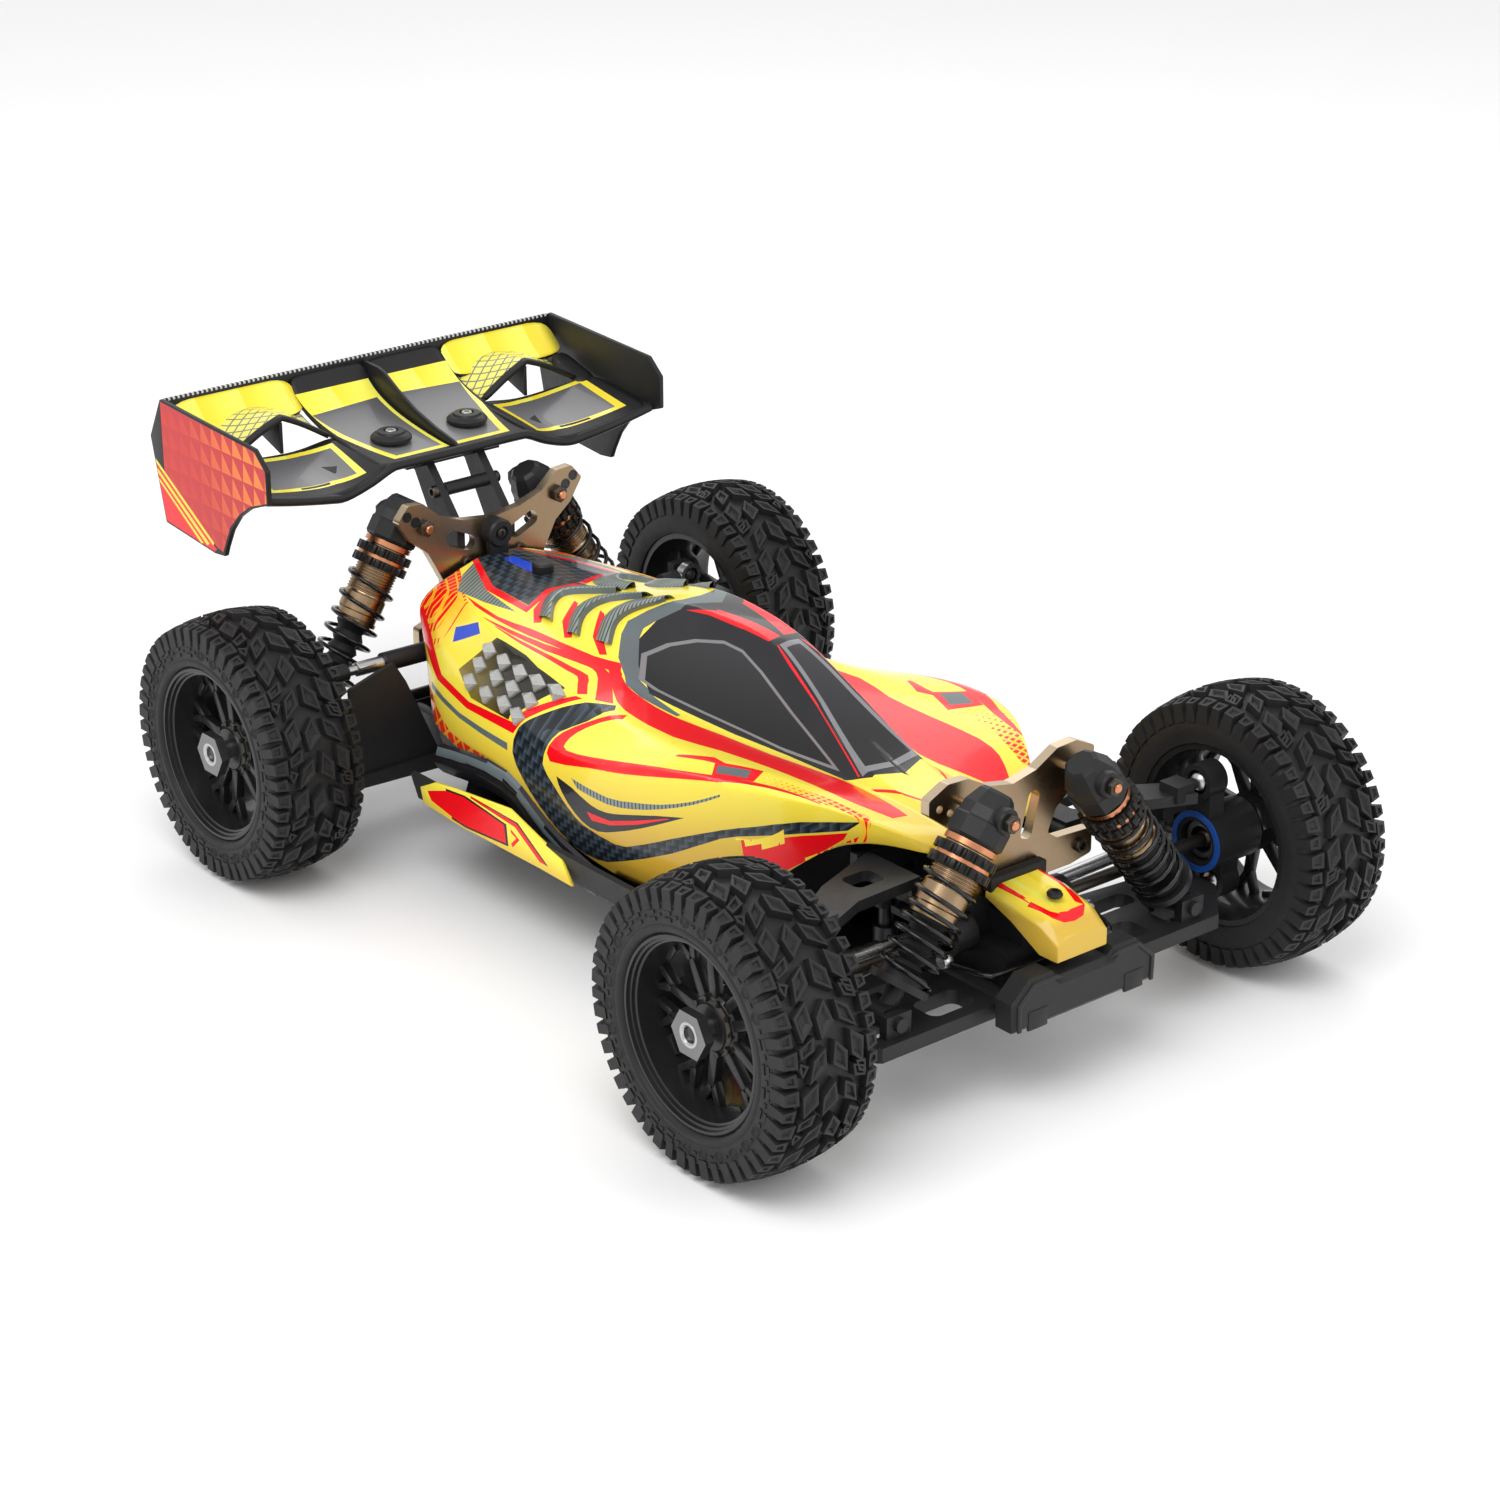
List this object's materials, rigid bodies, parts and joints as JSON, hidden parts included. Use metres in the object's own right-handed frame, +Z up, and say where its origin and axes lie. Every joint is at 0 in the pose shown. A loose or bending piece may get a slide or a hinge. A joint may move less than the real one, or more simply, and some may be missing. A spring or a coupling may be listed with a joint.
{
  "type": "rc buggy",
  "caption": "Eighth-scale electric off-road buggy with working wishbone suspension, coil-over shocks, bellcrank steering, a painted body shell and a high rear wing.",
  "frame": {"origin": "on the ground under the middle of the overall length and width, at the lowest point of the tyres", "axes": "+X forward, +Y to the car's left, +Z up"},
  "size_m": [0.494, 0.3124, 0.1821],
  "materials": {
    "tyre_rubber": "matte moulded rubber",
    "rim_plastic": "satin black nylon",
    "steel": "machined steel",
    "arm_plastic": "fibre-filled nylon",
    "shock_alloy": "bronze hard-anodised aluminium",
    "black_plastic": "moulded nylon",
    "spring_steel": "black powder coat",
    "black_metal": "black oxide",
    "chassis_alloy": "dark hard-anodised aluminium",
    "shell_paint": "glossy painted polycarbonate",
    "bronze_alloy": "bronze hard-anodised aluminium, polished edges",
    "wing_plastic": "satin black polycarbonate with printed panels",
    "battery_case": "hard case"
  },
  "bodies": {
    "root": {"chassis_plate": "chassis_alloy", "side_guards": "black_plastic", "front_bumper": "black_plastic", "front_shock_tower": "bronze_alloy", "rear_shock_tower": "bronze_alloy", "gearboxes": "black_plastic", "motor": "black_metal", "battery_pack": "battery_case", "electronics": "black_plastic", "body_shell": "shell_paint", "nose_cover": "shell_paint", "wing_mount": "black_plastic", "rear_wing": "wing_plastic"},
    "front_left_arm": {"front_left_lower_arm": "arm_plastic"},
    "front_left_balls": {"front_left_pivot_balls": "steel"},
    "front_left_knuckle": {"front_left_steering_knuckle": "black_plastic"},
    "front_left_wheel": {"front_left_tyre": "tyre_rubber", "front_left_rim": "rim_plastic", "front_left_axle": "steel"},
    "front_left_upper": {"front_left_upper_arm": "arm_plastic"},
    "front_left_shock": {"front_left_shock_body": "shock_alloy", "front_left_shock_spring": "spring_steel"},
    "front_left_shaft": {"front_left_shock_shaft": "black_plastic"},
    "front_left_drive": {"front_left_drive_shaft": "steel"},
    "front_left_tie": {"front_left_tie_rod": "black_metal"},
    "rear_left_arm": {"rear_left_lower_arm": "arm_plastic"},
    "rear_left_hub": {"rear_left_hub_carrier": "black_plastic"},
    "rear_left_wheel": {"rear_left_tyre": "tyre_rubber", "rear_left_rim": "rim_plastic", "rear_left_axle": "steel"},
    "rear_left_link": {"rear_left_camber_link": "black_metal"},
    "rear_left_shock": {"rear_left_shock_body": "shock_alloy", "rear_left_shock_spring": "spring_steel"},
    "rear_left_shaft": {"rear_left_shock_shaft": "black_plastic"},
    "rear_left_drive": {"rear_left_drive_shaft": "steel"},
    "front_right_arm": {"front_right_lower_arm": "arm_plastic"},
    "front_right_balls": {"front_right_pivot_balls": "steel"},
    "front_right_knuckle": {"front_right_steering_knuckle": "black_plastic"},
    "front_right_wheel": {"front_right_tyre": "tyre_rubber", "front_right_rim": "rim_plastic", "front_right_axle": "steel"},
    "front_right_upper": {"front_right_upper_arm": "arm_plastic"},
    "front_right_shock": {"front_right_shock_body": "shock_alloy", "front_right_shock_spring": "spring_steel"},
    "front_right_shaft": {"front_right_shock_shaft": "black_plastic"},
    "front_right_drive": {"front_right_drive_shaft": "steel"},
    "front_right_tie": {"front_right_tie_rod": "black_metal"},
    "rear_right_arm": {"rear_right_lower_arm": "arm_plastic"},
    "rear_right_hub": {"rear_right_hub_carrier": "black_plastic"},
    "rear_right_wheel": {"rear_right_tyre": "tyre_rubber", "rear_right_rim": "rim_plastic", "rear_right_axle": "steel"},
    "rear_right_link": {"rear_right_camber_link": "black_metal"},
    "rear_right_shock": {"rear_right_shock_body": "shock_alloy", "rear_right_shock_spring": "spring_steel"},
    "rear_right_shaft": {"rear_right_shock_shaft": "black_plastic"},
    "rear_right_drive": {"rear_right_drive_shaft": "steel"},
    "steering_plate": {"steering_plate": "black_metal"},
    "left_bellcrank": {"left_bellcrank": "black_plastic"},
    "right_bellcrank": {"right_bellcrank": "black_plastic"}
  },
  "joints": [
    {"name": "front_left_arm_hinge", "type": "hinge", "parent": "root", "child": "front_left_arm", "pos_m": [0.189, 0.025, 0.04], "axis": [1, 0, 0], "range_deg": [-12, 12], "stiffness_Nm_per_rad": 4.3, "springref_deg": -11.46},
    {"name": "front_left_ball_hinge", "type": "hinge", "parent": "front_left_arm", "child": "front_left_balls", "pos_m": [0.189, 0.117, 0.038], "axis": [1, 0, 0], "range_deg": [-10, 10]},
    {"name": "front_left_kingpin", "type": "hinge", "parent": "front_left_balls", "child": "front_left_knuckle", "pos_m": [0.189, 0.117, 0.038], "axis": [0, -0.2124, 0.9772], "range_deg": [-25, 25]},
    {"name": "front_left_wheel_spin", "type": "hinge", "parent": "front_left_knuckle", "child": "front_left_wheel", "pos_m": [0.189, 0.1342, 0.058], "axis": [0, 1, 0], "continuous": true},
    {"name": "front_left_upper_hinge", "type": "hinge", "parent": "root", "child": "front_left_upper", "pos_m": [0.168, 0.038, 0.078], "axis": [1, 0, 0], "range_deg": [-16, 16]},
    {"name": "front_left_shock_hinge", "type": "hinge", "parent": "root", "child": "front_left_shock", "pos_m": [0.206, 0.0264, 0.1139], "axis": [1, 0, 0], "range_deg": [-4, 4]},
    {"name": "front_left_shock_stroke", "type": "slide", "parent": "front_left_shock", "child": "front_left_shaft", "axis": [0, -0.6029, 0.7978], "range_m": [-0.0098, 0.0098], "deforming": ["front_left_shock_spring"]},
    {"name": "front_left_drive_swing", "type": "hinge", "parent": "root", "child": "front_left_drive", "pos_m": [0.189, 0.026, 0.058], "axis": [1, 0, 0], "range_deg": [-14.5, 14.5]},
    {"name": "rear_left_arm_hinge", "type": "hinge", "parent": "root", "child": "rear_left_arm", "pos_m": [-0.139, 0.025, 0.036], "axis": [1, 0, 0], "range_deg": [-12, 12], "stiffness_Nm_per_rad": 4.3, "springref_deg": -11.46},
    {"name": "rear_left_hub_hinge", "type": "hinge", "parent": "rear_left_arm", "child": "rear_left_hub", "pos_m": [-0.139, 0.11, 0.036], "axis": [1, 0, 0], "range_deg": [-12, 12]},
    {"name": "rear_left_wheel_spin", "type": "hinge", "parent": "rear_left_hub", "child": "rear_left_wheel", "pos_m": [-0.139, 0.13, 0.058], "axis": [0, 1, 0], "continuous": true},
    {"name": "rear_left_link_hinge", "type": "hinge", "parent": "root", "child": "rear_left_link", "pos_m": [-0.13, 0.036, 0.081], "axis": [1, 0, 0], "range_deg": [-16, 16]},
    {"name": "rear_left_shock_hinge", "type": "hinge", "parent": "root", "child": "rear_left_shock", "pos_m": [-0.1585, 0.0358, 0.1333], "axis": [1, 0, 0], "range_deg": [-4, 4]},
    {"name": "rear_left_shock_stroke", "type": "slide", "parent": "rear_left_shock", "child": "rear_left_shaft", "axis": [0, -0.5275, 0.8496], "range_m": [-0.013, 0.013], "deforming": ["rear_left_shock_spring"]},
    {"name": "rear_left_drive_swing", "type": "hinge", "parent": "root", "child": "rear_left_drive", "pos_m": [-0.139, 0.026, 0.058], "axis": [1, 0, 0], "range_deg": [-14.5, 14.5]},
    {"name": "front_right_arm_hinge", "type": "hinge", "parent": "root", "child": "front_right_arm", "pos_m": [0.189, -0.025, 0.04], "axis": [-1, 0, 0], "range_deg": [-12, 12], "stiffness_Nm_per_rad": 4.3, "springref_deg": -11.46},
    {"name": "front_right_ball_hinge", "type": "hinge", "parent": "front_right_arm", "child": "front_right_balls", "pos_m": [0.189, -0.117, 0.038], "axis": [-1, 0, 0], "range_deg": [-10, 10]},
    {"name": "front_right_kingpin", "type": "hinge", "parent": "front_right_balls", "child": "front_right_knuckle", "pos_m": [0.189, -0.117, 0.038], "axis": [0, 0.2124, 0.9772], "range_deg": [-25, 25]},
    {"name": "front_right_wheel_spin", "type": "hinge", "parent": "front_right_knuckle", "child": "front_right_wheel", "pos_m": [0.189, -0.1342, 0.058], "axis": [0, 1, 0], "continuous": true},
    {"name": "front_right_upper_hinge", "type": "hinge", "parent": "root", "child": "front_right_upper", "pos_m": [0.168, -0.038, 0.078], "axis": [-1, 0, 0], "range_deg": [-16, 16]},
    {"name": "front_right_shock_hinge", "type": "hinge", "parent": "root", "child": "front_right_shock", "pos_m": [0.206, -0.0264, 0.1139], "axis": [-1, 0, 0], "range_deg": [-4, 4]},
    {"name": "front_right_shock_stroke", "type": "slide", "parent": "front_right_shock", "child": "front_right_shaft", "axis": [0, 0.6029, 0.7978], "range_m": [-0.0098, 0.0098], "deforming": ["front_right_shock_spring"]},
    {"name": "front_right_drive_swing", "type": "hinge", "parent": "root", "child": "front_right_drive", "pos_m": [0.189, -0.026, 0.058], "axis": [-1, 0, 0], "range_deg": [-14.5, 14.5]},
    {"name": "rear_right_arm_hinge", "type": "hinge", "parent": "root", "child": "rear_right_arm", "pos_m": [-0.139, -0.025, 0.036], "axis": [-1, 0, 0], "range_deg": [-12, 12], "stiffness_Nm_per_rad": 4.3, "springref_deg": -11.46},
    {"name": "rear_right_hub_hinge", "type": "hinge", "parent": "rear_right_arm", "child": "rear_right_hub", "pos_m": [-0.139, -0.11, 0.036], "axis": [-1, 0, 0], "range_deg": [-12, 12]},
    {"name": "rear_right_wheel_spin", "type": "hinge", "parent": "rear_right_hub", "child": "rear_right_wheel", "pos_m": [-0.139, -0.13, 0.058], "axis": [0, 1, 0], "continuous": true},
    {"name": "rear_right_link_hinge", "type": "hinge", "parent": "root", "child": "rear_right_link", "pos_m": [-0.13, -0.036, 0.081], "axis": [-1, 0, 0], "range_deg": [-16, 16]},
    {"name": "rear_right_shock_hinge", "type": "hinge", "parent": "root", "child": "rear_right_shock", "pos_m": [-0.1585, -0.0358, 0.1333], "axis": [-1, 0, 0], "range_deg": [-4, 4]},
    {"name": "rear_right_shock_stroke", "type": "slide", "parent": "rear_right_shock", "child": "rear_right_shaft", "axis": [0, 0.5275, 0.8496], "range_m": [-0.013, 0.013], "deforming": ["rear_right_shock_spring"]},
    {"name": "rear_right_drive_swing", "type": "hinge", "parent": "root", "child": "rear_right_drive", "pos_m": [-0.139, -0.026, 0.058], "axis": [-1, 0, 0], "range_deg": [-14.5, 14.5]},
    {"name": "plate_slide", "type": "slide", "parent": "root", "child": "steering_plate", "axis": [0, 1, 0], "range_m": [-0.0087, 0.0087]},
    {"name": "front_left_tie_hinge", "type": "hinge", "parent": "steering_plate", "child": "front_left_tie", "pos_m": [0.169, 0.024, 0.0505], "axis": [1, 0, 0], "range_deg": [-13, 13]},
    {"name": "left_bellcrank_turn", "type": "hinge", "parent": "root", "child": "left_bellcrank", "pos_m": [0.144, 0.02, 0.06], "axis": [0, 0, 1], "range_deg": [-26, 26]},
    {"name": "front_right_tie_hinge", "type": "hinge", "parent": "steering_plate", "child": "front_right_tie", "pos_m": [0.169, -0.024, 0.0505], "axis": [-1, 0, 0], "range_deg": [-13, 13]},
    {"name": "right_bellcrank_turn", "type": "hinge", "parent": "root", "child": "right_bellcrank", "pos_m": [0.144, -0.02, 0.06], "axis": [0, 0, 1], "range_deg": [-26, 26]}
  ],
  "couplings": [
    {"joint": "front_left_ball_hinge", "follows": "front_left_arm_hinge", "ratio": -0.787},
    {"joint": "front_left_upper_hinge", "follows": "front_left_arm_hinge", "ratio": 1.303},
    {"joint": "front_left_shock_hinge", "follows": "front_left_arm_hinge", "ratio": 0.302},
    {"joint": "front_left_shock_stroke", "follows": "front_left_arm_hinge", "m_per_rad": 0.04555},
    {"joint": "front_left_drive_swing", "follows": "front_left_arm_hinge", "ratio": 1.051},
    {"joint": "rear_left_hub_hinge", "follows": "rear_left_arm_hinge", "ratio": -0.973},
    {"joint": "rear_left_link_hinge", "follows": "rear_left_arm_hinge", "ratio": 1.285},
    {"joint": "rear_left_shock_hinge", "follows": "rear_left_arm_hinge", "ratio": 0.246},
    {"joint": "rear_left_shock_stroke", "follows": "rear_left_arm_hinge", "m_per_rad": 0.0603},
    {"joint": "rear_left_drive_swing", "follows": "rear_left_arm_hinge", "ratio": 1.149},
    {"joint": "front_right_ball_hinge", "follows": "front_right_arm_hinge", "ratio": -0.787},
    {"joint": "front_right_kingpin", "follows": "front_left_kingpin", "ratio": 1},
    {"joint": "front_right_upper_hinge", "follows": "front_right_arm_hinge", "ratio": 1.303},
    {"joint": "front_right_shock_hinge", "follows": "front_right_arm_hinge", "ratio": 0.302},
    {"joint": "front_right_shock_stroke", "follows": "front_right_arm_hinge", "m_per_rad": 0.04555},
    {"joint": "front_right_drive_swing", "follows": "front_right_arm_hinge", "ratio": 1.051},
    {"joint": "rear_right_hub_hinge", "follows": "rear_right_arm_hinge", "ratio": -0.973},
    {"joint": "rear_right_link_hinge", "follows": "rear_right_arm_hinge", "ratio": 1.285},
    {"joint": "rear_right_shock_hinge", "follows": "rear_right_arm_hinge", "ratio": 0.246},
    {"joint": "rear_right_shock_stroke", "follows": "rear_right_arm_hinge", "m_per_rad": 0.0603},
    {"joint": "rear_right_drive_swing", "follows": "rear_right_arm_hinge", "ratio": 1.149},
    {"joint": "plate_slide", "follows": "front_left_kingpin", "m_per_rad": -0.01937},
    {"joint": "front_left_tie_hinge", "follows": "front_left_arm_hinge", "ratio": 1.024},
    {"joint": "left_bellcrank_turn", "follows": "front_left_kingpin", "ratio": -1},
    {"joint": "front_right_tie_hinge", "follows": "front_right_arm_hinge", "ratio": 1.024},
    {"joint": "right_bellcrank_turn", "follows": "front_left_kingpin", "ratio": -1}
  ]
}
